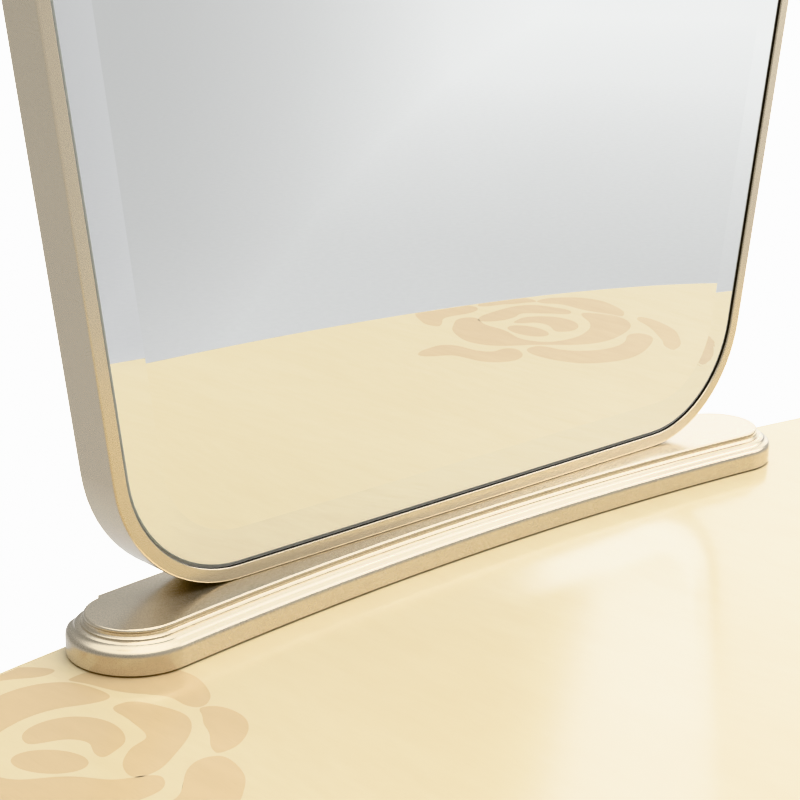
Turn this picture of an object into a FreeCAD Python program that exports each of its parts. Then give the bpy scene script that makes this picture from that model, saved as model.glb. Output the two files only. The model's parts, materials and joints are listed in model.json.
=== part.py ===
"""Vanity table with a fixed mirror: oval top with rose inlays, three drawers, four turned legs.

Millimetres, +Z up, +Y to the back.  The origin is on the floor, under the middle of the top.
Each piece is written to parts/NODE.step.
"""
import FreeCAD, Part
import math
import os
from FreeCAD import Vector

# ---------------------------------------------------------------- driving dimensions
# table top: an oval |x/a|^n + |y/b|^n = 1
TABLE_HEIGHT = 760.0
TOP_HALF_WIDTH = 805.0
TOP_HALF_DEPTH = 278.0
OVAL_POWER = 2.2
TOP_THICKNESS = 26.0
TOP_EASING = 3.0
VENEER = 1.0                    # thickness of the inlaid petals
INLAY_MARGIN = 4.5              # petals stop this far inside the top's edge

# rose motif: the centres are on the top, the left one is turned and a little smaller
ROSE_RIGHT = (452.5, -132.5, 0.0, 1.0)        # x, y, turn in degrees, scale
ROSE_LEFT = (-389.8, 146.4, 38.8, 0.92)

# moulding between the case and the top
MOULDING_HEIGHT = 14.0
MOULDING_INSET = 10.0
MOULDING_WIDTH = 60.0

# case
CASE_HALF_WIDTH = 740.0
CASE_HALF_DEPTH = 222.0
CASE_HEIGHT = 130.0
CASE_WALL = 20.0
RAIL_HEIGHT = 14.0
PANEL = 6.0                     # thickness of the case bottom
DIVIDER_X = 340.0               # middle of each divider
DIVIDER_WIDTH = 20.0
BATTEN_WIDTH = 44.0
TOP_SCREW_OFFSET = 16.0         # beside the divider under the batten

# legs
LEG_X = 575.0
LEG_Y = 141.0
LEG_RADIUS = 25.0               # the round post beside the drawers
GLIDE_HEIGHT = 6.0
FLUTES = 10
FLUTE_LOW_RADIUS = 1.7
FLUTE_HIGH_RADIUS = 2.9
DOWEL_RADIUS = 4.0
DOWEL_LENGTH = 36.0
RAIL_DOWEL_MARGIN = 7.0         # from the case's top and bottom to a dowel in a front rail
APRON_DOWEL_MARGIN = 30.0       # the same in an apron
NAIL_RADIUS = 2.0

# drawers
DRAWER_GAP = 2.0
FRONT_WALL = 19.0
BOX_WALL = 12.0
BOX_HEIGHT = 80.0
BOX_BOTTOM = 4.0
GROOVE = 5.0
GUIDE_WIDTH = 24.0
GUIDE_HEIGHT = 11.5
CHANNEL_WIDTH = 44.0
GUIDE_CLEARANCE = 0.5
KNOB_RADIUS = 14.0
KNOB_LENGTH = 25.0
KNOB_SCREW_RADIUS = 2.0
PAN_HEAD_RADIUS = 4.0
PAN_HEAD_HEIGHT = 2.4
SIDE_GAP = 4.0                  # between a drawer's side and the divider or leg beside it
BOTTOM_DROP = 6.0               # the drawer bottom is this far above the lower edge of its sides
STOP_HEIGHT = 34.0

# mirror frame: a deep band around a shape that widens upwards
MIRROR_FRONT_Y = 225.0
FRAME_DEPTH = 36.0
FRAME_FACE = 9.4
FRAME_HEIGHT = 760.0
FRAME_HALF_WIDTH = 284.1        # where the side lines meet the bottom line
SIDE_SPLAY = math.radians(8.31)
BOTTOM_RADIUS = 96.0
TOP_CORNER_RADIUS = 120.0
CROWN_RADIUS = 1500.0           # the gently arched top
OUTER_ARRIS = 1.5
INNER_ARRIS = 0.6
LEDGE_WIDTH = 16.0
LEDGE_DEPTH = 12.0
GLASS_FRONT = -0.3              # the plate's flat middle stands just in front of the frame's face
GLASS_THICKNESS = 5.0
GLASS_GAP = 1.8
GLASS_ARRIS = 0.8               # the ground edge outside the bevel
BEVEL_WIDTH = 24.0              # with the ground edge
BEVEL_DEPTH = 2.2
TAPE = 1.0
BACKING = 5.0
BACKING_SCREWS = 14
BACKING_SCREW_RADIUS = 1.8

# mirror base: round ends joined by a hollow front
BASE_HEIGHT = 26.0
BASE_END_X = 281.2
BASE_END_Y = 3.5                # behind the frame's front face
BASE_END_RADIUS = 42.4
BASE_HOLLOW_RADIUS = 2414.9
FELT = 0.8
BASE_BACK_MARGIN = 3.2          # from the top's back edge
BASE_BACK_SHELF = 8.0           # behind the frame
FIXING_X = 150.0
BOLT_RADIUS = 3.0
BOLT_CLEARANCE = 0.3
BOLT_HEAD_RADIUS = 5.5
BOLT_HEAD_HEIGHT = 4.0
BOLT_GRIP = 16.0                # how far a bolt goes into the mirror frame
WASHER_RADIUS = 6.0
WASHER_THICKNESS = 1.6

CASE_TOP = TABLE_HEIGHT - TOP_THICKNESS - MOULDING_HEIGHT
CASE_BOTTOM = CASE_TOP - CASE_HEIGHT
PANEL_Z = CASE_BOTTOM + 2.0
FLOOR_Z = PANEL_Z + PANEL       # the top face of the case bottom
OPENING_LOW = CASE_BOTTOM + RAIL_HEIGHT
OPENING_HIGH = CASE_TOP - RAIL_HEIGHT
BOX_Z = OPENING_LOW + DRAWER_GAP
BASE_TOP = TABLE_HEIGHT + BASE_HEIGHT
LEDGE_FRONT = GLASS_FRONT + GLASS_THICKNESS + TAPE     # behind the frame's face
FIXING_Y = MIRROR_FRONT_Y + LEDGE_FRONT + LEDGE_DEPTH / 2 - 1.0

Z = Vector(0, 0, 1)


# ---------------------------------------------------------------- helpers
def write(node, *shapes):
    """Write one node: a single solid, or a group of separate solids."""
    shape = shapes[0] if len(shapes) == 1 else Part.makeCompound(list(shapes))
    shape.exportStep("parts/" + node + ".step")
    print(node, len(shape.Solids), "solid(s)", round(shape.Volume / 1000.0, 1), "cm3", shape.isValid())


def box(x0, x1, y0, y1, z0, z1):
    return Part.makeBox(x1 - x0, y1 - y0, z1 - z0, Vector(x0, y0, z0))


def oval_wire(half_x, half_y, z, steps=48):
    """A closed curve through points of the oval |x/a|^n + |y/b|^n = 1."""
    points = []
    for k in range(steps):
        t = 2 * math.pi * (k + 0.5) / steps
        c, s = math.cos(t), math.sin(t)
        x = half_x * math.copysign(abs(c) ** (2 / OVAL_POWER), c)
        y = half_y * math.copysign(abs(s) ** (2 / OVAL_POWER), s)
        points.append(Vector(x, y, z))
    curve = Part.BSplineCurve()
    curve.interpolate(points, PeriodicFlag=True)
    return Part.Wire(curve.toShape())


def oval_prism(half_x, half_y, z0, z1):
    return Part.Face(oval_wire(half_x, half_y, z0)).extrude(Vector(0, 0, z1 - z0))


def case_prism(inset, z0, z1):
    return oval_prism(CASE_HALF_WIDTH - inset, CASE_HALF_DEPTH - inset, z0, z1)


def case_y(x, inset=0.0):
    """Half depth of the case's oval at x."""
    a = CASE_HALF_WIDTH - inset
    b = CASE_HALF_DEPTH - inset
    return b * (1 - (abs(x) / a) ** OVAL_POWER) ** (1 / OVAL_POWER)


def case_angle(x):
    """Turn of the case's front face about Z at x: its outward normal is -Y turned by this."""
    step = 1.0
    return math.atan2(case_y(x - step) - case_y(x + step), 2 * step)


def outline(points):
    """A closed wire: a corner is (a, b); (a, b, "via") is a point that an arc passes through."""
    edges = []
    ends = points + [points[0]]
    start = Vector(ends[0][0], 0, ends[0][1])
    via = None
    for point in ends[1:]:
        here = Vector(point[0], 0, point[1])
        if len(point) == 3:
            via = here
            continue
        if via:
            edges.append(Part.Arc(start, via, here).toShape())
        else:
            edges.append(Part.LineSegment(start, here).toShape())
        start = here
        via = None
    return Part.Wire(edges)


def turned(points, centre):
    """Turn an outline of (radius, z) points about a vertical axis through centre."""
    solid = Part.Face(outline(points)).revolve(Vector(0, 0, 0), Z, 360)
    solid.translate(centre)
    return solid


def screw(head_radius, head_height, radius, length, slot):
    """A countersunk screw: the head's face is at z = 0 and it points up."""
    head = Part.makeCone(head_radius, radius, head_height)
    shank = Part.makeCylinder(radius, length - radius * 2)
    tip = Part.makeCone(radius, 0.2, radius * 2, Vector(0, 0, length - radius * 2))
    cut = box(-head_radius, head_radius, -slot / 2, slot / 2, -1, head_height * 0.4)
    return head.fuse(shank).fuse(tip).removeSplitter().cut(cut)


def fixing_places(z):
    """Where the mirror's three bolts are, at height z."""
    return [Vector(x, FIXING_Y, z) for x in (-FIXING_X, 0.0, FIXING_X)]


def fixing_holes(z0, z1, radius):
    return Part.makeCompound([Part.makeCylinder(radius, z1 - z0, place) for place in fixing_places(z0)])


# ---------------------------------------------------------------- rose inlay
# Outlines of the rose's petals about its own centre, each a smooth closed curve.
ROSE_PETALS = {
    "comma": [(4, 25), (15, 30), (30, 25), (43, 7), (42, -13), (30, -28), (15, -34), (2, -31),
              (-6, -26), (-2, -20), (10, -13), (13, -4), (7, 12)],
    "crescent": [(63, -15), (70, -23), (67, -43), (57, -62), (42, -69), (24, -70), (0, -67),
                 (-18, -62), (-27, -52), (-17, -42), (0, -39), (12, -41), (23, -45), (37, -36), (49, -24)],
    "heart": [(-26, -69), (-38, -71), (-54, -61), (-69, -48), (-81, -29), (-88, -7), (-83, 13),
              (-70, 27), (-52, 38), (-37, 50), (-20, 64), (-2, 73), (20, 75), (45, 69), (70, 57),
              (84, 42), (90, 24), (85, 6), (73, -8), (62, 2), (53, 18), (38, 33), (21, 42), (4, 47),
              (-14, 47), (-28, 43), (-38, 32), (-42, 17), (-36, -2), (-32, -22), (-31, -43)],
    "upper": [(-52, 44), (-67, 49), (-73, 66), (-70, 90), (-60, 110), (-40, 123), (-15, 128),
              (10, 123), (32, 113), (50, 102), (61, 88), (59, 77), (50, 74), (32, 84), (14, 92),
              (-4, 93), (-20, 88), (-33, 79), (-41, 65), (-44, 51)],
    "sliver": [(41, 136), (58, 129), (76, 113), (94, 92), (104, 69), (108, 50), (105, 38), (98, 41),
               (90, 55), (80, 75), (66, 95), (53, 112), (41, 127)],
    "right": [(95, 25), (108, 15), (118, -5), (123, -30), (114, -53), (97, -66), (82, -71),
              (70, -67), (71, -58), (79, -48), (82, -33), (82, -16), (87, 3), (91, 17)],
    "lower_left": [(-70, -64), (-60, -71), (-48, -81), (-28, -81), (-8, -80), (4, -86), (8, -95),
                   (0, -106), (-15, -115), (-33, -118), (-50, -117), (-63, -105), (-72, -88), (-76, -73)],
    "lower_right": [(12, -91), (20, -86), (37, -81), (48, -75), (60, -71), (69, -68), (73, -75),
                    (71, -86), (61, -98), (45, -104), (27, -103), (15, -97)],
    "leaf": [(-155, 0), (-145, 9), (-133, 16), (-128, 32), (-124, 50), (-113, 61), (-98, 65),
             (-83, 59), (-74, 48), (-72, 36), (-79, 31), (-93, 31), (-100, 25), (-104, 10),
             (-106, -5), (-116, -15), (-130, -15), (-145, -12)],
}
BUD = (-17.0, 3.0, 15.0, 23.5)      # centre and half sizes of the oval at the rose's middle


def petal_faces():
    """The rose's petals as flat faces at z = 0."""
    faces = []
    for points in ROSE_PETALS.values():
        curve = Part.BSplineCurve()
        curve.interpolate([Vector(x, y, 0) for x, y in points], PeriodicFlag=True)
        faces.append(Part.Face(Part.Wire(curve.toShape())))
    x, y, half_x, half_y = BUD
    bud = Part.Ellipse(Vector(x, y + half_y, 0), Vector(x + half_x, y, 0), Vector(x, y, 0))
    faces.append(Part.Face(Part.Wire(bud.toShape())))
    return faces


def rose(place):
    """All petals of one rose, let into the top face and kept clear of its edge."""
    x, y, turn, scale = place
    edge = oval_prism(TOP_HALF_WIDTH - INLAY_MARGIN, TOP_HALF_DEPTH - INLAY_MARGIN,
                      TABLE_HEIGHT - 5, TABLE_HEIGHT + 5)
    petals = []
    for face in petal_faces():
        face = face.scaled(scale)
        face.rotate(Vector(0, 0, 0), Z, turn)
        face.translate(Vector(x, y, TABLE_HEIGHT - VENEER))
        solid = face.extrude(Vector(0, 0, VENEER)).common(edge)
        petals += solid.Solids
    return petals


# ---------------------------------------------------------------- table top and moulding
def table_top(petals):
    low = TABLE_HEIGHT - TOP_THICKNESS
    slab = oval_prism(TOP_HALF_WIDTH, TOP_HALF_DEPTH, low, TABLE_HEIGHT)
    rims = [e for e in slab.Edges if e.BoundBox.ZLength < 0.1]
    slab = slab.makeFillet(TOP_EASING, rims)
    slab = slab.cut(fixing_holes(low - 1, TABLE_HEIGHT + 1, BOLT_RADIUS + BOLT_CLEARANCE))
    return slab.cut(Part.makeCompound(petals))


def edge_moulding():
    """The moulded ring under the top, stepping in towards the case."""
    steps = [(0.0, 0.0), (0.0, 3.0), (1.6, 3.0), (2.2, 5.0), (4.4, 7.4), (7.6, 9.2), (9.4, 11.4),
             (9.8, MOULDING_HEIGHT)]
    high = CASE_TOP + MOULDING_HEIGHT
    half_x = TOP_HALF_WIDTH - MOULDING_INSET
    half_y = TOP_HALF_DEPTH - MOULDING_INSET
    wires = [oval_wire(half_x - inset, half_y - inset, high - drop) for inset, drop in steps]
    body = Part.makeLoft(wires, True, True)
    hole = oval_prism(half_x - MOULDING_WIDTH, half_y - MOULDING_WIDTH, CASE_TOP - 1, high + 1)
    return body.cut(hole).cut(fixing_holes(CASE_TOP - 1, high + 1, BOLT_RADIUS + BOLT_CLEARANCE))


# ---------------------------------------------------------------- legs
def leg_centres():
    return {"front_left": (-LEG_X, -LEG_Y), "front_right": (LEG_X, -LEG_Y),
            "rear_left": (-LEG_X, LEG_Y), "rear_right": (LEG_X, LEG_Y)}


def leg(x, y, dowels):
    """A turned, fluted, tapering leg that ends in a round post between the aprons."""
    low = GLIDE_HEIGHT
    post = CASE_BOTTOM - 12
    profile = [(0, low), (12, low), (17, low + 13, "via"), (12.5, low + 26), (12.5, low + 29),
               (15.5, low + 32, "via"), (12.5, low + 35), (12, low + 39), (21, post - 33),
               (21, post - 29), (25.5, post - 23, "via"), (21.5, post - 17), (20.5, post - 13),
               (21.5, post - 5, "via"), (LEG_RADIUS, post), (LEG_RADIUS, CASE_TOP), (0, CASE_TOP)]
    solid = turned(profile, Vector(x, y, 0))
    flute_low = Vector(13.2, 0, low + 80)
    flute_high = Vector(20.7, 0, post - 70)
    run = flute_high - flute_low
    for k in range(FLUTES):
        groove = Part.makeCone(FLUTE_LOW_RADIUS, FLUTE_HIGH_RADIUS, run.Length, flute_low, run)
        groove = groove.fuse(Part.makeSphere(FLUTE_LOW_RADIUS, flute_low))
        groove = groove.fuse(Part.makeSphere(FLUTE_HIGH_RADIUS, flute_high))
        groove.rotate(Vector(0, 0, 0), Z, 360.0 / FLUTES * (k + 0.5))
        groove.translate(Vector(x, y, 0))
        solid = solid.cut(groove)
    solid = solid.cut(Part.makeCylinder(NAIL_RADIUS, 14, Vector(x, y, low)))
    return solid.cut(Part.makeCompound(dowels))


def glide(x, y):
    """A round nail-on glide under a leg."""
    pad = turned([(0, 0), (10, 0), (11, 1), (11, 4.5), (9.5, GLIDE_HEIGHT), (0, GLIDE_HEIGHT)],
                 Vector(x, y, 0))
    nail = Part.makeCylinder(NAIL_RADIUS, 13, Vector(x, y, GLIDE_HEIGHT - 0.5))
    return pad.fuse(nail).removeSplitter()


def apron_dowels():
    """Two dowels from each side of every leg into the apron or rail beside it."""
    dowels = []
    for x, y in leg_centres().values():
        slope = math.copysign(case_angle(LEG_X), -x * y)
        for way in (-1, 1):
            towards_middle = way * x < 0
            is_front_rail = towards_middle and y < 0
            margin = RAIL_DOWEL_MARGIN if is_front_rail else APRON_DOWEL_MARGIN
            along = Vector(way * math.cos(slope), way * math.sin(slope), 0)
            for z in (CASE_BOTTOM + margin, CASE_TOP - margin):
                start = Vector(x, y, z) + along * (LEG_RADIUS - DOWEL_LENGTH / 2 + 2)
                dowels.append(Part.makeCylinder(DOWEL_RADIUS, DOWEL_LENGTH, start, along))
    return dowels


# ---------------------------------------------------------------- case
def case_ring(z0, z1):
    return case_prism(0, z0, z1).cut(case_prism(CASE_WALL, z0 - 1, z1 + 1))


def posts(z0, z1, radius=LEG_RADIUS):
    return Part.makeCompound([Part.makeCylinder(radius, z1 - z0, Vector(x, y, z0))
                              for x, y in leg_centres().values()])


def ring_piece(z0, z1, region, dowels):
    """The part of the case's wall inside region, fitted to the posts and dowels."""
    piece = case_ring(z0, z1).common(region).cut(posts(z0 - 1, z1 + 1))
    piece = piece.cut(Part.makeCompound(dowels))
    solids = sorted(piece.Solids, key=lambda s: s.Volume)
    return solids[-1]


def divider(side):
    """An upright panel between two drawers, shaped to the case's curve at both ends."""
    x = side * DIVIDER_X
    block = box(x - DIVIDER_WIDTH / 2, x + DIVIDER_WIDTH / 2, -300, 300, FLOOR_Z, CASE_TOP)
    inside = case_prism(CASE_WALL, FLOOR_Z, CASE_TOP)
    nose = case_prism(0, OPENING_LOW, OPENING_HIGH).common(box(-900, 900, -300, 0, 0, 900))
    return block.common(inside.fuse(nose)).removeSplitter()


def case_bottom():
    panel = case_prism(CASE_WALL, PANEL_Z, FLOOR_Z)
    return panel.cut(posts(PANEL_Z - 1, FLOOR_Z + 1))


def batten(x):
    """A cross batten inside the moulding that the top is screwed to."""
    half_x = TOP_HALF_WIDTH - MOULDING_INSET - MOULDING_WIDTH
    half_y = TOP_HALF_DEPTH - MOULDING_INSET - MOULDING_WIDTH
    high = CASE_TOP + MOULDING_HEIGHT
    block = box(x - BATTEN_WIDTH / 2, x + BATTEN_WIDTH / 2, -300, 300, CASE_TOP, high)
    return block.common(oval_prism(half_x, half_y, CASE_TOP, high))


def top_screws():
    """Screws up through the battens into the top, beside the dividers."""
    screws = []
    for x in (-DIVIDER_X - TOP_SCREW_OFFSET, 0.0, DIVIDER_X + TOP_SCREW_OFFSET):
        for y in (-120.0, 0.0, 120.0):
            one = screw(4.0, 2.5, 1.8, 28.0, 1.0)
            one.translate(Vector(x, y, CASE_TOP))
            screws.append(one)
    return screws


# ---------------------------------------------------------------- drawers
# name: inner and outer x of the front, back y of the box, knob places
DRAWERS = {
    "centre": (-DIVIDER_X + 12, DIVIDER_X - 12, 160.0, (-170.0, 170.0)),
    "left": (-LEG_X + 27, -DIVIDER_X - 12, 112.0, (-450.0,)),
    "right": (DIVIDER_X + 12, LEG_X - 27, 112.0, (450.0,)),
}


def knob_place(x):
    """Where a knob sits on the curved front, and the front's outward direction there."""
    turn = math.copysign(case_angle(abs(x)), x)
    outward = Vector(math.sin(turn), -math.cos(turn), 0)
    face = Vector(x, -case_y(x), BOX_Z + (OPENING_HIGH - DRAWER_GAP - BOX_Z) / 2)
    return face, outward


def knob(x):
    """A turned knob with a collar against the drawer front."""
    profile = [(0, 0), (9, 0), (9, 1.5), (6, 3), (4.5, 7), (5, 11), (9, 13.5),
               (KNOB_RADIUS, 18, "via"), (9, 23.5), (0, KNOB_LENGTH)]
    solid = turned(profile, Vector(0, 0, 0))
    solid = solid.cut(Part.makeCylinder(KNOB_SCREW_RADIUS, 10))
    face, outward = knob_place(x)
    solid.Placement = FreeCAD.Placement(face, FreeCAD.Rotation(Z, outward))
    return solid


def knob_screw(x):
    """A pan-head screw from inside the drawer front into the knob."""
    head_face = -FRONT_WALL - PAN_HEAD_HEIGHT
    head = Part.makeCylinder(PAN_HEAD_RADIUS, PAN_HEAD_HEIGHT, Vector(0, 0, head_face))
    head = head.makeFillet(1.0, [e for e in head.Edges if abs(e.BoundBox.ZMax - head_face) < 0.01])
    head = head.cut(box(-5, 5, -0.6, 0.6, head_face - 1, head_face + 1))
    shank = Part.makeCylinder(KNOB_SCREW_RADIUS, FRONT_WALL + 8, Vector(0, 0, -FRONT_WALL))
    solid = head.fuse(shank)
    face, outward = knob_place(x)
    solid.Placement = FreeCAD.Placement(face, FreeCAD.Rotation(Z, outward))
    return solid.removeSplitter()


def drawer(name):
    """All pieces of one drawer: curved front, box, guide channel, knobs and their screws."""
    x0, x1, back_y, knob_xs = DRAWERS[name]
    box_x0 = x0 + SIDE_GAP
    box_x1 = x1 - SIDE_GAP
    high = OPENING_HIGH - DRAWER_GAP
    side_high = BOX_Z + BOX_HEIGHT
    shell = case_prism(0, BOX_Z, high).cut(case_prism(FRONT_WALL, BOX_Z - 1, high + 1))
    front = shell.common(box(x0, x1, -300, 0, BOX_Z, high))
    inside = case_prism(FRONT_WALL, BOX_Z - 5, high)
    side_left = box(box_x0, box_x0 + BOX_WALL, -300, back_y, BOX_Z, side_high).common(inside)
    side_right = box(box_x1 - BOX_WALL, box_x1, -300, back_y, BOX_Z, side_high).common(inside)
    floor_z = BOX_Z + BOTTOM_DROP
    groove_inside = case_prism(FRONT_WALL - GROOVE, floor_z, floor_z + BOX_BOTTOM)
    bottom = box(box_x0 + BOX_WALL - GROOVE, box_x1 - BOX_WALL + GROOVE, -300, back_y,
                 floor_z, floor_z + BOX_BOTTOM).common(groove_inside)
    back = box(box_x0 + BOX_WALL, box_x1 - BOX_WALL, back_y - BOX_WALL, back_y,
               floor_z + BOX_BOTTOM, side_high)
    middle = (x0 + x1) / 2
    half_channel = CHANNEL_WIDTH / 2
    channel_front = -case_y(abs(middle) + half_channel, FRONT_WALL) + 1.0
    channel = box(middle - half_channel, middle + half_channel, channel_front, back_y, BOX_Z, floor_z)
    half_slot = GUIDE_WIDTH / 2 + GUIDE_CLEARANCE
    slot_top = FLOOR_Z + GUIDE_HEIGHT + GUIDE_CLEARANCE
    channel = channel.cut(box(middle - half_slot, middle + half_slot, -300, 300, BOX_Z - 5, slot_top))
    for x in knob_xs:
        face, outward = knob_place(x)
        hole = Part.makeCylinder(KNOB_SCREW_RADIUS, 60, face - outward * 40, outward)
        front = front.cut(hole)
    return {
        "front": [front.cut(bottom)],
        "side_left": [side_left.cut(bottom)],
        "side_right": [side_right.cut(bottom)],
        "back": [back],
        "bottom": [bottom],
        "guide_channel": [channel],
        "knobs" if len(knob_xs) > 1 else "knob": [knob(x) for x in knob_xs],
        "knob_screws" if len(knob_xs) > 1 else "knob_screw": [knob_screw(x) for x in knob_xs],
    }


def guide_rail(name):
    """The hardwood rail on the case bottom that the drawer's channel runs on."""
    x0, x1, back_y = DRAWERS[name][:3]
    middle = (x0 + x1) / 2
    half = GUIDE_WIDTH / 2
    front_y = -case_y(abs(middle) + half, CASE_WALL) + 2.0
    rail = box(middle - half, middle + half, front_y, back_y + 6, FLOOR_Z, FLOOR_Z + GUIDE_HEIGHT)
    upper = [e for e in rail.Edges if e.BoundBox.ZMin > FLOOR_Z + 5]
    return rail.makeFillet(1.0, [e for e in upper if e.BoundBox.YLength > 50])


def stop_blocks():
    """Two small blocks behind each drawer that it closes against."""
    blocks = []
    for place in DRAWERS.values():
        x0, x1, back_y = place[:3]
        for x in (x0 + 40, x1 - 40):
            y = back_y + 0.5
            blocks.append(box(x - 9, x + 9, y, y + 14, FLOOR_Z, FLOOR_Z + STOP_HEIGHT))
    return blocks


# ---------------------------------------------------------------- mirror
def frame_wire(inset, y):
    """The mirror's outline, moved inwards by inset, in the upright plane at y."""
    lean = SIDE_SPLAY
    low_x = FRAME_HALF_WIDTH + BOTTOM_RADIUS * math.tan(lean) - BOTTOM_RADIUS / math.cos(lean)
    crown_z = FRAME_HEIGHT - CROWN_RADIUS
    # top corner's centre: its radius from the side line, and inside the crown arc
    k = FRAME_HALF_WIDTH - TOP_CORNER_RADIUS / math.cos(lean)
    m = math.tan(lean)
    reach = CROWN_RADIUS - TOP_CORNER_RADIUS
    qa = m * m + 1
    qb = 2 * (k * m - crown_z)
    qc = k * k + crown_z * crown_z - reach * reach
    high_z = (-qb + math.sqrt(qb * qb - 4 * qa * qc)) / (2 * qa)
    high_x = k + m * high_z
    crown_angle = math.atan2(high_z - crown_z, high_x)

    def at(cx, cz, radius, angle, side):
        return Vector(side * (cx + radius * math.cos(angle)), y, BASE_TOP + cz + radius * math.sin(angle))

    low_r = BOTTOM_RADIUS - inset
    high_r = TOP_CORNER_RADIUS - inset
    side_points = {}
    for side in (-1, 1):
        side_points[side] = [
            at(low_x, BOTTOM_RADIUS, low_r, -math.pi / 2, side),
            at(low_x, BOTTOM_RADIUS, low_r, (-math.pi / 2 - lean) / 2, side),
            at(low_x, BOTTOM_RADIUS, low_r, -lean, side),
            at(high_x, high_z, high_r, -lean, side),
            at(high_x, high_z, high_r, (crown_angle - lean) / 2, side),
            at(high_x, high_z, high_r, crown_angle, side)]
    left, right = side_points[-1], side_points[1]
    crown = at(0, crown_z, CROWN_RADIUS - inset, math.pi / 2, 1)
    edges = [Part.LineSegment(left[0], right[0]), Part.Arc(right[0], right[1], right[2]),
             Part.LineSegment(right[2], right[3]), Part.Arc(right[3], right[4], right[5]),
             Part.Arc(right[5], crown, left[5]), Part.Arc(left[5], left[4], left[3]),
             Part.LineSegment(left[3], left[2]), Part.Arc(left[2], left[1], left[0])]
    return Part.Wire([e.toShape() for e in edges])


def frame_prism(inset, front, depth):
    """A solid inside the mirror's outline; front is measured back from the frame's face."""
    return Part.Face(frame_wire(inset, MIRROR_FRONT_Y + front)).extrude(Vector(0, depth, 0))


def flat_edges(solid):
    """The edges that lie in an upright plane facing the front."""
    return [e for e in solid.Edges if e.BoundBox.YLength < 0.1]


def mirror_frame():
    """A deep band with eased edges and an inner ledge for the plate and the backing."""
    block = frame_prism(0, 0, FRAME_DEPTH)
    block = block.makeFillet(OUTER_ARRIS, flat_edges(block))
    hole = frame_prism(FRAME_FACE, -1, FRAME_DEPTH + 2)
    band = block.cut(hole)
    band = band.makeFillet(INNER_ARRIS, [e for e in flat_edges(band) if e.distToShape(hole)[0] < 0.01])
    ledge = frame_prism(FRAME_FACE - 2, LEDGE_FRONT, LEDGE_DEPTH)
    ledge = ledge.cut(frame_prism(FRAME_FACE + LEDGE_WIDTH, LEDGE_FRONT - 1, LEDGE_DEPTH + 2))
    frame = band.fuse(ledge).removeSplitter()
    return frame.cut(fixing_holes(BASE_TOP - 1, BASE_TOP + BOLT_GRIP + 3, BOLT_RADIUS))


def mirror_glass():
    """A flat plate with a wide bevel and a narrow ground edge around it."""
    edge = FRAME_FACE + GLASS_GAP
    back = GLASS_FRONT + GLASS_THICKNESS
    bevel_low = GLASS_FRONT + BEVEL_DEPTH
    ground_low = bevel_low + GLASS_ARRIS
    plate = frame_prism(edge, ground_low, back - ground_low)
    steps = [(edge, ground_low), (edge + GLASS_ARRIS, bevel_low), (edge + BEVEL_WIDTH, GLASS_FRONT)]
    wires = [frame_wire(inset, MIRROR_FRONT_Y + behind) for inset, behind in steps]
    return plate.fuse(Part.makeLoft(wires, True, True)).removeSplitter()


def cushion_tape():
    front = GLASS_FRONT + GLASS_THICKNESS
    inset = FRAME_FACE + 2.5
    ring = frame_prism(inset, front, TAPE)
    return ring.cut(frame_prism(FRAME_FACE + LEDGE_WIDTH - 2, front - 1, TAPE + 2))


def backing_panel():
    panel = frame_prism(FRAME_FACE + 0.5, LEDGE_FRONT + LEDGE_DEPTH, BACKING)
    for place in backing_places():
        start = place + Vector(0, -10, 0)
        panel = panel.cut(Part.makeCylinder(BACKING_SCREW_RADIUS, 20, start, Vector(0, 1, 0)))
    return panel


def backing_places():
    """Points on the middle of the ledge, spread around the frame, on the panel's back face."""
    back_y = MIRROR_FRONT_Y + LEDGE_FRONT + LEDGE_DEPTH + BACKING
    ring = frame_wire(FRAME_FACE + LEDGE_WIDTH / 2, back_y)
    return ring.discretize(Number=BACKING_SCREWS + 1)[:-1]


def backing_screws():
    """Pan-head screws through the backing panel into the ledge."""
    head_height = 1.8
    screws = []
    for place in backing_places():
        one = Part.makeCylinder(3.4, head_height)
        one = one.makeFillet(0.9, [e for e in one.Edges if e.BoundBox.ZMax < 0.01])
        one = one.cut(box(-4, 4, -0.5, 0.5, -1, 0.8))
        shank = Part.makeCylinder(BACKING_SCREW_RADIUS, 12, Vector(0, 0, head_height))
        one = one.fuse(shank).removeSplitter()
        head_face = place + Vector(0, head_height, 0)
        one.Placement = FreeCAD.Placement(head_face, FreeCAD.Rotation(Z, Vector(0, -1, 0)))
        screws.append(one)
    return screws


# the base's moulded edge, from the plateau down: distance in from the widest line, and height
BASE_EDGE = [(12.6, BASE_HEIGHT), (11.55, 25.6, "via"), (11.2, 24.7), (11.2, 24.2), (11.8, 23.7),
             (10.9, 23.3), (10.9, 21.9), (10.4, 21.3), (9.9, 21.3), (9.3, 20.8), (9.3, 20.1),
             (7.4, 19.9, "via"), (5.8, 19.0), (4.8, 17.7, "via"), (3.2, 16.7), (0.9, 15.0, "via"),
             (0.0, 12.4), (0.0, FELT + 0.6), (0.6, FELT)]


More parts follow.
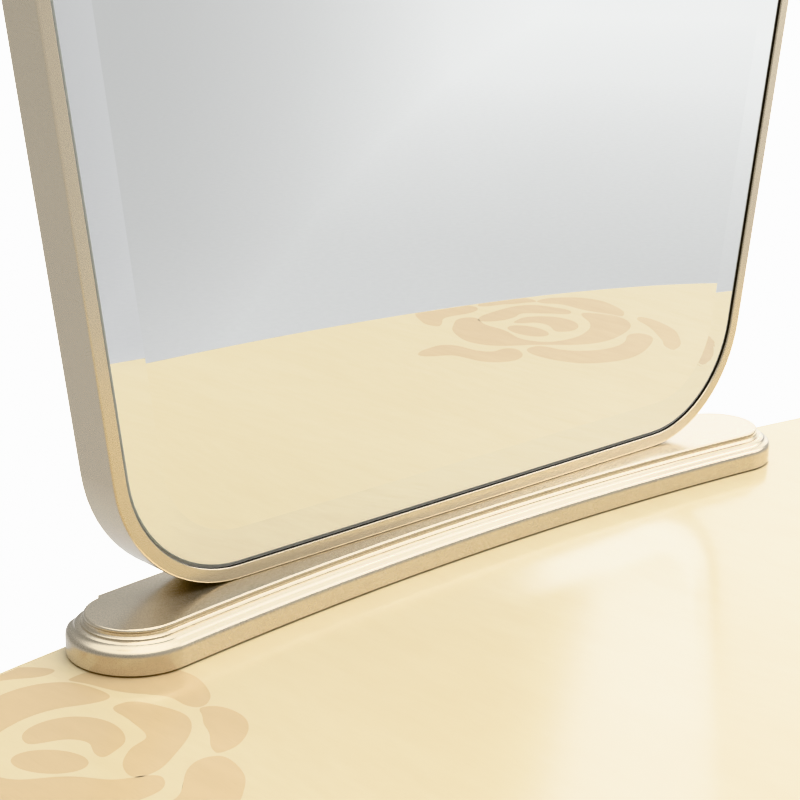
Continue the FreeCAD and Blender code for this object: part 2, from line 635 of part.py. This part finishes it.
def base_solid(edge, low, high):
    """A base-shaped solid whose moulded edge is given as (inset, z) points."""
    end = Vector(BASE_END_X, MIRROR_FRONT_Y + BASE_END_Y, TABLE_HEIGHT)
    reach = BASE_HOLLOW_RADIUS + BASE_END_RADIUS
    spread = math.asin(BASE_END_X / reach)
    hollow = Vector(0, end.y - reach * math.cos(spread), TABLE_HEIGHT)

    def section(radius_of, inner):
        points = [(radius_of(p[0]), p[1]) + p[2:] for p in edge]
        return Part.Face(outline([(inner, high)] + points + [(inner, low)]))

    middle = section(lambda inset: BASE_HOLLOW_RADIUS + inset, BASE_HOLLOW_RADIUS + 120)
    middle.rotate(Vector(0, 0, 0), Z, 90 - math.degrees(spread))
    middle = middle.revolve(Vector(0, 0, 0), Z, 2 * math.degrees(spread))
    middle.translate(hollow)
    solid = middle
    half = section(lambda inset: BASE_END_RADIUS - inset, 0)
    right = half.copy()
    right.rotate(Vector(0, 0, 0), Z, -90 - math.degrees(spread))
    right = right.revolve(Vector(0, 0, 0), Z, 180)
    right.translate(end)
    left = half.copy()
    left.rotate(Vector(0, 0, 0), Z, 90 + math.degrees(spread))
    left = left.revolve(Vector(0, 0, 0), Z, 180)
    left.translate(Vector(-end.x, end.y, end.z))
    solid = solid.fuse([left, right]).removeSplitter()
    back_y = MIRROR_FRONT_Y + FRAME_DEPTH + BASE_BACK_SHELF
    back = box(-400, 400, 0, back_y, TABLE_HEIGHT - 1, BASE_TOP + 1)
    follow = oval_prism(TOP_HALF_WIDTH - BASE_BACK_MARGIN, TOP_HALF_DEPTH - BASE_BACK_MARGIN,
                        TABLE_HEIGHT - 1, BASE_TOP + 1)
    return solid.common(back).common(follow)


def mirror_base():
    base = base_solid(BASE_EDGE, FELT, BASE_HEIGHT)
    return base.cut(fixing_holes(TABLE_HEIGHT - 1, BASE_TOP + 1, BOLT_RADIUS + BOLT_CLEARANCE))


def base_felt():
    felt = base_solid([(3.0, FELT), (3.0, 0.0)], 0.0, FELT)
    return felt.cut(fixing_holes(TABLE_HEIGHT - 1, BASE_TOP, BOLT_RADIUS + BOLT_CLEARANCE))


def fixing_bolts():
    """Hexagon-head bolts from under the moulding, through top and base, into the frame's ledge."""
    grip = BASE_TOP + BOLT_GRIP - CASE_TOP + WASHER_THICKNESS
    bolts = []
    for place in fixing_places(CASE_TOP - WASHER_THICKNESS):
        turns = [math.pi / 3 * k for k in range(7)]
        corners = [Vector(BOLT_HEAD_RADIUS * math.cos(t), BOLT_HEAD_RADIUS * math.sin(t), 0) for t in turns]
        head = Part.Face(Part.makePolygon(corners)).extrude(Vector(0, 0, -BOLT_HEAD_HEIGHT))
        bolt = head.fuse(Part.makeCylinder(BOLT_RADIUS, grip)).removeSplitter()
        bolt.translate(place)
        bolts.append(bolt)
    return bolts


def fixing_washers():
    disc = Part.makeCylinder(WASHER_RADIUS, WASHER_THICKNESS)
    washer = disc.cut(Part.makeCylinder(BOLT_RADIUS, WASHER_THICKNESS))
    return [washer.translated(place) for place in fixing_places(CASE_TOP - WASHER_THICKNESS)]


# ---------------------------------------------------------------- all pieces
def main():
    os.makedirs("parts", exist_ok=True)
    left_rose = rose(ROSE_LEFT)
    right_rose = rose(ROSE_RIGHT)
    write("rose_inlay_left", *left_rose)
    write("rose_inlay_right", *right_rose)
    write("table_top", table_top(left_rose + right_rose))
    write("top_edge_moulding", edge_moulding())

    dowels = apron_dowels()
    write("apron_dowels", *dowels)
    for name, (x, y) in leg_centres().items():
        write("leg_" + name, leg(x, y, dowels))
    write("leg_glides", *[glide(x, y) for x, y in leg_centres().values()])
    wall = (CASE_BOTTOM, CASE_TOP)
    write("apron_back", ring_piece(*wall, box(-LEG_X, LEG_X, 0, 300, 0, 900), dowels))
    write("apron_end_left", ring_piece(*wall, box(-900, -LEG_X, -300, 300, 0, 900), dowels))
    write("apron_end_right", ring_piece(*wall, box(LEG_X, 900, -300, 300, 0, 900), dowels))
    front = box(-LEG_X, LEG_X, -300, 0, 0, 900)
    write("front_top_rail", ring_piece(OPENING_HIGH, CASE_TOP, front, dowels))
    write("front_bottom_rail", ring_piece(CASE_BOTTOM, OPENING_LOW, front, dowels))
    write("divider_left", divider(-1))
    write("divider_right", divider(1))
    write("case_bottom_panel", case_bottom())
    write("top_batten_left", batten(-DIVIDER_X))
    write("top_batten_centre", batten(0.0))
    write("top_batten_right", batten(DIVIDER_X))
    write("top_fixing_screws", *top_screws())
    write("drawer_stop_blocks", *stop_blocks())
    for name in DRAWERS:
        write("guide_rail_" + name, guide_rail(name))
        for piece, solids in drawer(name).items():
            write("drawer_" + name + "_" + piece, *solids)

    write("mirror_frame", mirror_frame())
    write("mirror_glass", mirror_glass())
    write("mirror_cushion_tape", cushion_tape())
    write("mirror_backing_panel", backing_panel())
    write("backing_panel_screws", *backing_screws())
    write("mirror_base", mirror_base())
    write("mirror_base_felt", base_felt())
    write("mirror_fixing_bolts", *fixing_bolts())
    write("mirror_fixing_washers", *fixing_washers())


main()
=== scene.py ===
"""Looks for the vanity table: materials, light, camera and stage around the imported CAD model."""
import json
import math

import bmesh
import bpy
from mathutils import Matrix, Vector


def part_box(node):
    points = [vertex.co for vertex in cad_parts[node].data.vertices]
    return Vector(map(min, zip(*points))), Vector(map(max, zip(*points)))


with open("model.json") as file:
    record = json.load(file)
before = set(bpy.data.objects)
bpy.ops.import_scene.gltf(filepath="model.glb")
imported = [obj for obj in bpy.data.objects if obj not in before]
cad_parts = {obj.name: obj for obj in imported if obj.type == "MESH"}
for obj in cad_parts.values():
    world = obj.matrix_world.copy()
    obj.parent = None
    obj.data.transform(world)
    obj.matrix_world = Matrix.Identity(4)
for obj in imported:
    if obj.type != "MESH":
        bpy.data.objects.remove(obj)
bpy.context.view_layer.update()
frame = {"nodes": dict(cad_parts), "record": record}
nodes = frame["nodes"]
scene = bpy.context.scene


# ---------------------------------------------------------------- camera
frame_low, frame_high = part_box("mirror_frame")
FRAME_FRONT = frame_low[1]              # y of the mirror frame's face
TABLE_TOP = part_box("table_top")[1][2]
CAMERA_AT = (-0.9582, FRAME_FRONT - 0.9494, TABLE_TOP + 0.5277)
CAMERA_YAW = math.radians(42.68)        # from +Y towards +X
CAMERA_PITCH = math.radians(17.57)      # downwards
CAMERA_ROLL = math.radians(0.80)
CAMERA_LENS = 92.58
CAMERA_SHIFT = (0.025, 0.004)


def make_camera():
    forward = Vector((math.sin(CAMERA_YAW) * math.cos(CAMERA_PITCH),
                      math.cos(CAMERA_YAW) * math.cos(CAMERA_PITCH), -math.sin(CAMERA_PITCH)))
    level = Vector((math.cos(CAMERA_YAW), -math.sin(CAMERA_YAW), 0))
    upright = level.cross(forward)
    right = math.cos(CAMERA_ROLL) * level + math.sin(CAMERA_ROLL) * upright
    up = right.cross(forward)
    data = bpy.data.cameras.new("camera")
    data.sensor_width = 36
    data.lens = CAMERA_LENS
    data.shift_x, data.shift_y = CAMERA_SHIFT
    data.clip_start, data.clip_end = 0.05, 200
    camera = bpy.data.objects.new("camera", data)
    turn = Matrix((right, up, -forward)).transposed().to_4x4()
    camera.matrix_world = Matrix.Translation(CAMERA_AT) @ turn
    scene.collection.objects.link(camera)
    scene.camera = camera


# ---------------------------------------------------------------- node helpers
class Nodes:
    """Short ways to build the nodes of one material, or of the world."""

    def __init__(self, name, kind=bpy.data.materials):
        self.material = kind.new(name)
        self.material.use_nodes = True
        self.tree = self.material.node_tree
        self.tree.nodes.clear()
        self.coords = None

    def add(self, kind, **settings):
        node = self.tree.nodes.new(kind)
        for key, value in settings.items():
            setattr(node, key, value)
        return node

    def feed(self, socket, value):
        if isinstance(value, bpy.types.NodeSocket):
            self.tree.links.new(value, socket)
        elif value is not None:
            socket.default_value = value

    def object_coords(self):
        if self.coords is None:
            self.coords = self.add("ShaderNodeTexCoord").outputs["Object"]
        return self.coords

    def mapped(self, scale, turn=(0, 0, 0), offset=(0, 0, 0), source=None):
        node = self.add("ShaderNodeMapping")
        self.feed(node.inputs["Vector"], source or self.object_coords())
        node.inputs["Scale"].default_value = scale
        node.inputs["Rotation"].default_value = turn
        node.inputs["Location"].default_value = offset
        return node.outputs["Vector"]

    def noise(self, vector, scale=1.0, detail=3.0, rough=0.55, distortion=0.0):
        node = self.add("ShaderNodeTexNoise")
        self.feed(node.inputs["Vector"], vector)
        node.inputs["Scale"].default_value = scale
        node.inputs["Detail"].default_value = detail
        node.inputs["Roughness"].default_value = rough
        node.inputs["Distortion"].default_value = distortion
        return node.outputs["Fac"]

    def math(self, kind, a, b=None, clamp=False):
        node = self.add("ShaderNodeMath", operation=kind, use_clamp=clamp)
        self.feed(node.inputs[0], a)
        self.feed(node.inputs[1], b)
        return node.outputs[0]

    def vector(self, kind, a, b=None):
        node = self.add("ShaderNodeVectorMath", operation=kind)
        self.feed(node.inputs[0], a)
        self.feed(node.inputs[1], b)
        return node.outputs["Value"] if kind == "DOT_PRODUCT" else node.outputs["Vector"]

    def remap(self, value, low, high, new_low=0.0, new_high=1.0, smooth=False):
        node = self.add("ShaderNodeMapRange")
        node.interpolation_type = "SMOOTHSTEP" if smooth else "LINEAR"
        self.feed(node.inputs["Value"], value)
        for key, number in zip(("From Min", "From Max", "To Min", "To Max"),
                               (low, high, new_low, new_high)):
            node.inputs[key].default_value = number
        return node.outputs["Result"]

    def mix(self, factor, a, b, kind="MIX"):
        node = self.add("ShaderNodeMix", data_type="RGBA", blend_type=kind)
        self.feed(node.inputs["Factor"], factor)
        self.feed(node.inputs[6], a)
        self.feed(node.inputs[7], b)
        return node.outputs[2]

    def separate(self, vector):
        node = self.add("ShaderNodeSeparateXYZ")
        self.feed(node.inputs[0], vector)
        return node.outputs

    def combine(self, x, y, z):
        node = self.add("ShaderNodeCombineXYZ")
        for socket, value in zip(node.inputs, (x, y, z)):
            self.feed(socket, value)
        return node.outputs[0]

    def bump(self, height, strength, distance, normal=None):
        node = self.add("ShaderNodeBump")
        node.inputs["Strength"].default_value = strength
        node.inputs["Distance"].default_value = distance
        self.feed(node.inputs["Height"], height)
        self.feed(node.inputs["Normal"], normal)
        return node.outputs["Normal"]

    def finish(self, **sockets):
        shader = self.add("ShaderNodeBsdfPrincipled")
        for key, value in sockets.items():
            self.feed(shader.inputs[key.replace("_", " ")], value)
        out = self.add("ShaderNodeOutputMaterial")
        self.tree.links.new(shader.outputs[0], out.inputs["Surface"])
        return self.material


def rgb(r, g, b):
    return (r, g, b, 1.0)


# ---------------------------------------------------------------- materials
GRAIN_TURNS = {"Y": (0, 0, 0), "Z": (math.pi / 2, 0, 0)}
LEAVES = 3.1                     # veneer leaves to the metre, across the grain
RINGS = 420.0                    # how closely the growth rings lie

# metres behind the mirror frame's face
WALL_START = (0.0007, 0.0013)    # the rebate's wall begins behind the face's small rounding; from here the wall is painted near-black, painted shade
WALL_END = 0.02
WALL_PAINTED_LIGHT = (0.0030, 0.0036)      # deeper than this the wall is painted near-white, painted light in place of light through the plate's edge

GLASS_INDEX = 1.53
PLATE_FRONT = -0.9               # y of the normal: below this the plate's front and bevel
PLATE_EDGE = -0.5                # and above this its ground edge
LEFT_BEVEL = (-0.06, -0.03)      # x of the left bevel's normal, where the bevel is painted darker, painted shade
LEFT_BEVEL_FROM = (TABLE_TOP + 0.17, TABLE_TOP + 0.20)     # above the table's own reflection; above this the left bevel's painted shade begins


def wood(name, pale, deep, fleck, along="Y", gloss=True, figure=1.0):
    """Figured wood: cathedral rings, fine pores and slow colour changes along the grain."""
    n = Nodes(name)
    base = n.mapped((1, 1, 1), turn=GRAIN_TURNS[along])
    x, y = n.separate(base)[:2]
    slow = n.noise(n.mapped((5, 1.2, 5), source=base), detail=2)
    sway = n.noise(n.mapped((9, 2.2, 9), source=base), detail=3)
    leaf = n.math("SUBTRACT", n.math("FRACT", n.math("MULTIPLY", x, LEAVES)), 0.5)
    arch = n.math("MULTIPLY", n.math("MULTIPLY", leaf, leaf), 0.55)
    height = n.math("ADD", n.math("MULTIPLY", y, 0.35), arch)
    height = n.math("ADD", height, n.math("MULTIPLY", sway, 0.10))
    rings = n.math("SINE", n.math("MULTIPLY", height, RINGS))
    rings = n.math("MULTIPLY", rings, n.remap(slow, 0.35, 0.7, 0.0, 1.0))
    pores = n.noise(n.mapped((900, 45, 900), source=base), detail=2, rough=0.6)
    silk = n.noise(n.mapped((60, 14, 60), source=base), detail=4, rough=0.6)
    blotch = n.noise(n.mapped((3.5, 2, 3.5), offset=(4, 2, 1), source=base), detail=2)
    colour = n.mix(n.remap(blotch, 0.3, 0.7), pale, deep)
    colour = n.mix(n.remap(silk, 0.35, 0.75, 0.0, 0.35 * figure), colour, fleck)
    colour = n.mix(n.remap(rings, -1, 1, 0.0, 0.16 * figure), colour, fleck)
    colour = n.mix(n.remap(pores, 0.58, 0.8, 0.0, 0.45 * figure), colour, fleck)
    lacquer = n.noise(n.mapped((140, 140, 140)), detail=2)
    if gloss:
        normal = n.bump(lacquer, 0.02, 0.0006)
        return n.finish(Base_Color=colour, Roughness=n.remap(silk, 0.2, 0.8, 0.42, 0.52),
                        Coat_Weight=1.0, Coat_Roughness=0.15, Coat_IOR=1.5, Normal=normal,
                        Coat_Normal=normal)
    normal = n.bump(n.math("ADD", pores, silk), 0.12, 0.0006)
    return n.finish(Base_Color=colour, Roughness=n.remap(silk, 0.2, 0.8, 0.4, 0.55), Normal=normal)


def rebate_shade(n):
    """Masks for the rebate's painted shade and painted light: 1 inside the mirror frame's rebate and 0
    elsewhere; and how deep inside, from 0 to 1.
    """
    geometry = n.add("ShaderNodeNewGeometry")
    middle = [(a + b) / 2 for a, b in zip(frame_low, frame_high)]
    inwards = n.vector("SUBTRACT", middle, geometry.outputs["Position"])
    inwards = n.vector("MULTIPLY", inwards, (1, 0, 1))
    facing = n.vector("DOT_PRODUCT", inwards, geometry.outputs["True Normal"])
    behind = n.separate(geometry.outputs["Position"])[1]
    deep = n.remap(behind, *(FRAME_FRONT + depth for depth in WALL_START))
    shallow = n.math("LESS_THAN", behind, FRAME_FRONT + WALL_END)
    inside = n.math("MULTIPLY", n.math("MULTIPLY", deep, shallow), n.math("GREATER_THAN", facing, -1e-4))
    return inside, n.remap(behind, *(FRAME_FRONT + depth for depth in WALL_PAINTED_LIGHT))


def metallic_paint(name, colour, dark, rough=0.27, metal=0.85, shaded=False):
    """Satin champagne lacquer: fine metal flakes under a thin clear coat. shaded paints the rebate:
    painted shade, near-black, at its front and painted light, near-white, deeper in.
    """
    n = Nodes(name)
    flakes = n.noise(n.object_coords(), scale=2600, detail=2, rough=0.7)
    cloud = n.noise(n.object_coords(), scale=14, detail=3)
    orange = n.noise(n.object_coords(), scale=380, detail=2)
    tone = n.mix(n.remap(flakes, 0.35, 0.7, 0.0, 0.10), colour, dark)
    tone = n.mix(n.remap(cloud, 0.35, 0.75, 0.0, 0.06), tone, dark)
    roughness = n.math("ADD", n.remap(flakes, 0.3, 0.7, rough - 0.015, rough + 0.02),
                       n.remap(cloud, 0.3, 0.7, -0.006, 0.006))
    normal = n.bump(orange, 0.006, 0.0004)
    gloss = 0.9
    if shaded:
        shade, depth = rebate_shade(n)
        # painted shade near-black at the front of the rebate wall, painted light near-white deeper in
        tone = n.mix(shade, tone, n.mix(depth, rgb(0.02, 0.016, 0.013), rgb(0.95, 0.92, 0.86)))
        roughness = n.mix(shade, roughness, rgb(0.9, 0.9, 0.9))
        gloss = n.remap(shade, 0, 1, gloss, 0.0)
        metal = n.remap(shade, 0, 1, metal, 0.0)
    return n.finish(Base_Color=tone, Metallic=metal, Roughness=roughness, Normal=normal,
                    Coat_Weight=gloss, Coat_Roughness=0.18, Coat_IOR=1.6)


def mirror_plate(name):
    """Silvered plate. The bevel bends what it shows as a glass wedge over silver does."""
    n = Nodes(name)
    geometry = n.add("ShaderNodeNewGeometry")
    side, facing = n.separate(geometry.outputs["True Normal"])[:2]
    front = n.math("LESS_THAN", facing, PLATE_FRONT)
    edge = n.math("GREATER_THAN", facing, PLATE_EDGE)
    wedge = n.vector("NORMALIZE", n.vector("SUBTRACT", (0, -GLASS_INDEX, 0), n.vector(
        "MULTIPLY", geometry.outputs["True Normal"], (GLASS_INDEX - 1,) * 3)))
    mixed = n.add("ShaderNodeMix", data_type="VECTOR")
    n.feed(mixed.inputs["Factor"], front)
    n.feed(mixed.inputs[4], geometry.outputs["Normal"])
    n.feed(mixed.inputs[5], wedge)
    haze = n.noise(n.object_coords(), scale=6, detail=3)
    tint = n.mix(n.remap(haze, 0.3, 0.7), rgb(0.90, 0.905, 0.90), rgb(0.915, 0.92, 0.915))
    height = n.separate(geometry.outputs["Position"])[2]
    # painted shade: the upper part of the left bevel reflects less, tinted darker
    left_bevel_painted_shade = n.math("MULTIPLY", n.remap(side, *LEFT_BEVEL, 1.0, 0.0),
                        n.remap(height, *LEFT_BEVEL_FROM, 0.0, 1.0, smooth=True))
    tint = n.mix(left_bevel_painted_shade, tint, rgb(0.84, 0.845, 0.85))
    ground = n.mix(edge, rgb(0.70, 0.74, 0.71), rgb(0.80, 0.84, 0.82))
    colour = n.mix(front, ground, tint)
    return n.finish(Base_Color=colour, Metallic=front,
                    Roughness=n.remap(front, 0, 1, 0.25, 0.0), Normal=mixed.outputs[1])


def steel(name):
    """Bright zinc-plated steel, finely turned."""
    n = Nodes(name)
    spangle = n.noise(n.object_coords(), scale=900, detail=3)
    turned = n.noise(n.mapped((2500, 2500, 200)), detail=2)
    tone = n.mix(n.remap(spangle, 0.3, 0.7), rgb(0.62, 0.62, 0.60), rgb(0.76, 0.77, 0.78))
    return n.finish(Base_Color=tone, Metallic=1.0, Roughness=n.remap(spangle, 0.3, 0.7, 0.22, 0.38),
                    Normal=n.bump(turned, 0.1, 0.0001))


def felt(name, pale, dark):
    """Pressed wool fibres in loose clumps."""
    n = Nodes(name)
    fibre = n.noise(n.object_coords(), scale=1500, detail=4, rough=0.7, distortion=1.5)
    clump = n.noise(n.object_coords(), scale=120, detail=3)
    tone = n.mix(n.remap(fibre, 0.3, 0.75), dark, pale)
    tone = n.mix(n.remap(clump, 0.3, 0.7, 0.0, 0.3), tone, dark)
    return n.finish(Base_Color=tone, Roughness=0.95, Sheen_Weight=0.4, Sheen_Roughness=0.5,
                    Specular_IOR_Level=0.2, Normal=n.bump(fibre, 0.6, 0.0008))


def foam(name):
    """Black closed-cell foam."""
    n = Nodes(name)
    cells = n.add("ShaderNodeTexVoronoi")
    n.feed(cells.inputs["Vector"], n.object_coords())
    cells.inputs["Scale"].default_value = 1800
    size = cells.outputs["Distance"]
    tone = n.mix(n.remap(size, 0.0, 0.8), rgb(0.02, 0.02, 0.02), rgb(0.06, 0.06, 0.06))
    return n.finish(Base_Color=tone, Roughness=0.9, Normal=n.bump(size, 0.5, 0.0004))


def hardboard(name):
    """Brown pressed fibre board with a screen pattern."""
    n = Nodes(name)
    fibre = n.noise(n.object_coords(), scale=420, detail=5, rough=0.65, distortion=0.6)
    fleck = n.noise(n.object_coords(), scale=60, detail=3)
    screen = n.noise(n.object_coords(), scale=2000, detail=1)
    tone = n.mix(n.remap(fibre, 0.3, 0.75), rgb(0.085, 0.05, 0.03), rgb(0.19, 0.12, 0.075))
    tone = n.mix(n.remap(fleck, 0.45, 0.8, 0.0, 0.35), tone, rgb(0.26, 0.18, 0.12))
    return n.finish(Base_Color=tone, Roughness=n.remap(fibre, 0.3, 0.7, 0.45, 0.7),
                    Normal=n.bump(n.math("ADD", fibre, screen), 0.25, 0.0005))


def nylon(name):
    """Off-white moulded nylon with scuffs."""
    n = Nodes(name)
    grain = n.noise(n.object_coords(), scale=700, detail=3)
    scuff = n.noise(n.mapped((300, 30, 30)), detail=3)
    tone = n.mix(n.remap(scuff, 0.5, 0.8, 0.0, 0.3), rgb(0.66, 0.63, 0.56), rgb(0.45, 0.43, 0.39))
    return n.finish(Base_Color=tone, Roughness=n.remap(grain, 0.3, 0.7, 0.4, 0.55),
                    Subsurface_Weight=0.1, Normal=n.bump(grain, 0.1, 0.0003))


VENEER_PALE = rgb(0.76, 0.645, 0.425)
VENEER_DEEP = rgb(0.73, 0.605, 0.380)
VENEER_FLECK = rgb(0.64, 0.510, 0.300)
PETAL_PALE = rgb(0.66, 0.500, 0.295)
PETAL_DEEP = rgb(0.61, 0.450, 0.255)
PETAL_FLECK = rgb(0.55, 0.400, 0.215)
CHAMPAGNE = rgb(0.70, 0.605, 0.460)
CHAMPAGNE_DARK = rgb(0.62, 0.525, 0.385)

materials = {
    "blond_veneer": wood("blond_veneer", VENEER_PALE, VENEER_DEEP, VENEER_FLECK),
    "blond_upright": wood("blond_upright", VENEER_PALE, VENEER_DEEP, VENEER_FLECK, along="Z"),
    "petal_veneer": wood("petal_veneer", PETAL_PALE, PETAL_DEEP, PETAL_FLECK, figure=0.8),
    "champagne_lacquer": metallic_paint("champagne_lacquer", CHAMPAGNE, CHAMPAGNE_DARK),
    "frame_lacquer_painted_shade_and_light": metallic_paint("frame_lacquer_painted_shade_and_light", CHAMPAGNE, CHAMPAGNE_DARK, shaded=True),
    "champagne_metal": metallic_paint("champagne_metal", CHAMPAGNE, CHAMPAGNE_DARK, rough=0.24, metal=1.0),
    "zinc_steel": steel("zinc_steel"),
    "mirror_plate": mirror_plate("mirror_plate"),
    "black_foam": foam("black_foam"),
    "felt": felt("felt", rgb(0.80, 0.50, 0.26), rgb(0.62, 0.38, 0.19)),
    "backing_board": hardboard("backing_board"),
    "birch": wood("birch", rgb(0.68, 0.53, 0.34), rgb(0.62, 0.47, 0.29), rgb(0.46, 0.31, 0.17),
                  gloss=False),
    "nylon": nylon("nylon"),
}
# nodes whose veneer stands with its grain upright
UPRIGHT_VENEER = ("apron_", "drawer_centre_front", "drawer_left_front", "drawer_right_front")

for part in frame["record"]["subparts"]:
    name = part["node"]
    kind = part["material_slot"]
    if kind == "blond_veneer" and name.startswith(UPRIGHT_VENEER):
        kind = "blond_upright"
    if name == "mirror_frame":
        kind = "frame_lacquer_painted_shade_and_light"
    mesh = nodes[name].data
    mesh.materials.clear()
    mesh.materials.append(materials[kind])


# ---------------------------------------------------------------- stage and light
FLOOR_RADIUS = 90
STAGE_X = 0.96                   # the floor's painted light: its greys fan out from a point behind and left of the table
STAGE_Y = 1.17
FAN = (math.radians(35), math.radians(47))
CLEAR_OF_TABLE = (1.0, 1.7)      # between these radii the floor's painted glow to the camera rises to white
WORLD_GREY = 0.46
CAMERA_WHITE = 4.0
TABLE_AT = (0.1, 0.1, 0.76)      # what the softbox lights


def make_floor():
    """A wide round floor with painted light: its grey changes slowly, in place of a lit studio floor's
    fall of light, and it glows white to the camera away from the table.
    """
    mesh = bpy.data.meshes.new("floor")
    disc = bmesh.new()
    bmesh.ops.create_circle(disc, cap_ends=True, cap_tris=True, segments=96, radius=FLOOR_RADIUS)
    disc.to_mesh(mesh)
    disc.free()
    floor = bpy.data.objects.new("floor", mesh)
    scene.collection.objects.link(floor)
    n = Nodes("floor")
    x, y = n.separate(n.object_coords())[:2]
    to_right = n.math("ADD", x, STAGE_X)
    to_front = n.math("SUBTRACT", STAGE_Y, y)
    fan = n.math("ARCTAN2", to_right, to_front)
    spread = n.math("POWER", n.remap(fan, *FAN), 1.6)
    across = n.remap(spread, 0, 1, 0.57, 0.97)
    depth = n.math("ADD", n.math("MULTIPLY", to_right, 0.68), n.math("MULTIPLY", to_front, 0.735))
    away = n.remap(depth, 4.5, 10.7, 0.62, 0.97)
    rear_left = n.math("SUBTRACT", n.math("MULTIPLY", y, 0.81), n.math("MULTIPLY", x, 0.58))
    # painted light: the floor's grey follows these fans and distances, not the lamps
    painted_light_grey = n.math("MULTIPLY", n.math("MINIMUM", across, away), n.remap(rear_left, 0.3, 2.0, 1.0, 0.9))
    cloth = n.noise(n.object_coords(), scale=55, detail=4)
    painted_light_grey = n.math("MULTIPLY", painted_light_grey, n.remap(cloth, 0.3, 0.7, 0.985, 1.015))
    path = n.add("ShaderNodeLightPath")
    diffuse = n.add("ShaderNodeBsdfDiffuse")
    tint = n.mix(1.0, n.combine(painted_light_grey, painted_light_grey, painted_light_grey), rgb(1.015, 1.0, 0.985), "MULTIPLY")
    n.feed(diffuse.inputs["Color"], tint)
    # painted light: the floor glows white to camera rays away from the table
    painted_glow = n.add("ShaderNodeEmission")
    painted_glow.inputs["Color"].default_value = rgb(1, 1, 1)
    distance = n.math("SQRT", n.math("ADD", n.math("MULTIPLY", x, x), n.math("MULTIPLY", y, y)))
    beyond = n.remap(distance, *CLEAR_OF_TABLE, 0.0, 3.0, smooth=True)
    n.feed(painted_glow.inputs["Strength"], n.math("MULTIPLY", path.outputs["Is Camera Ray"], beyond))
    both = n.add("ShaderNodeAddShader")
    n.feed(both.inputs[0], diffuse.outputs[0])
    n.feed(both.inputs[1], painted_glow.outputs[0])
    out = n.add("ShaderNodeOutputMaterial")
    n.feed(out.inputs["Surface"], both.outputs[0])
    mesh.materials.append(n.material)


def make_world():
    """Soft surroundings: brighter overhead, brightest at the back right, white to the camera."""
    n = Nodes("studio", bpy.data.worlds)
    towards = n.add("ShaderNodeTexCoord").outputs["Generated"]

    def lobe(direction, start, full, strength):
        along = n.vector("DOT_PRODUCT", towards, Vector(direction).normalized())
        return n.remap(along, start, full, 0.0, strength, smooth=True)

    light = n.math("ADD", lobe((0, 0, 1), 0.58, 0.95, 1.95), WORLD_GREY)
    light = n.math("ADD", light, lobe((0.6, -0.8, 0), 0.1, 0.9, 0.14))
    light = n.math("ADD", light, lobe((0.80, 0.425, 0.423), 0.9, 0.99, 3.15))
    path = n.add("ShaderNodeLightPath")
    direct = n.math("LESS_THAN", path.outputs["Ray Depth"], 1.5)      # not by way of the mirror
    front = n.math("MULTIPLY", direct, lobe((0.65, -0.70, 0.40), 0.9, 0.98, 1.1))
    light = n.math("ADD", light, front)
    light = n.math("MAXIMUM", light, n.math("MULTIPLY", path.outputs["Is Camera Ray"], CAMERA_WHITE))
    sky = n.add("ShaderNodeBackground")
    sky.inputs["Color"].default_value = rgb(0.784, 0.80, 0.813)
    n.feed(sky.inputs["Strength"], light)
    out = n.add("ShaderNodeOutputWorld")
    n.feed(out.inputs["Surface"], sky.outputs[0])
    scene.world = n.material


def area_light(name, at, target, size, watts, colour=(1, 1, 1)):
    data = bpy.data.lights.new(name, "AREA")
    data.shape = "RECTANGLE"
    data.size, data.size_y = size
    data.energy = watts
    data.color = colour
    light = bpy.data.objects.new(name, data)
    light.location = at
    light.rotation_euler = (Vector(target) - Vector(at)).to_track_quat("-Z", "Y").to_euler()
    light.visible_camera = False
    scene.collection.objects.link(light)


make_camera()
make_floor()
make_world()
area_light("softbox", (1.99, -0.73, 2.26), TABLE_AT, size=(1.2, 1.15), watts=23, colour=(0.96, 0.99, 1.05))
area_light("overhead", (0.1, -0.3, 2.5), (0.1, 0.0, 0.76), size=(1.4, 1.0), watts=13)
scene.view_settings.view_transform = "Khronos PBR Neutral"
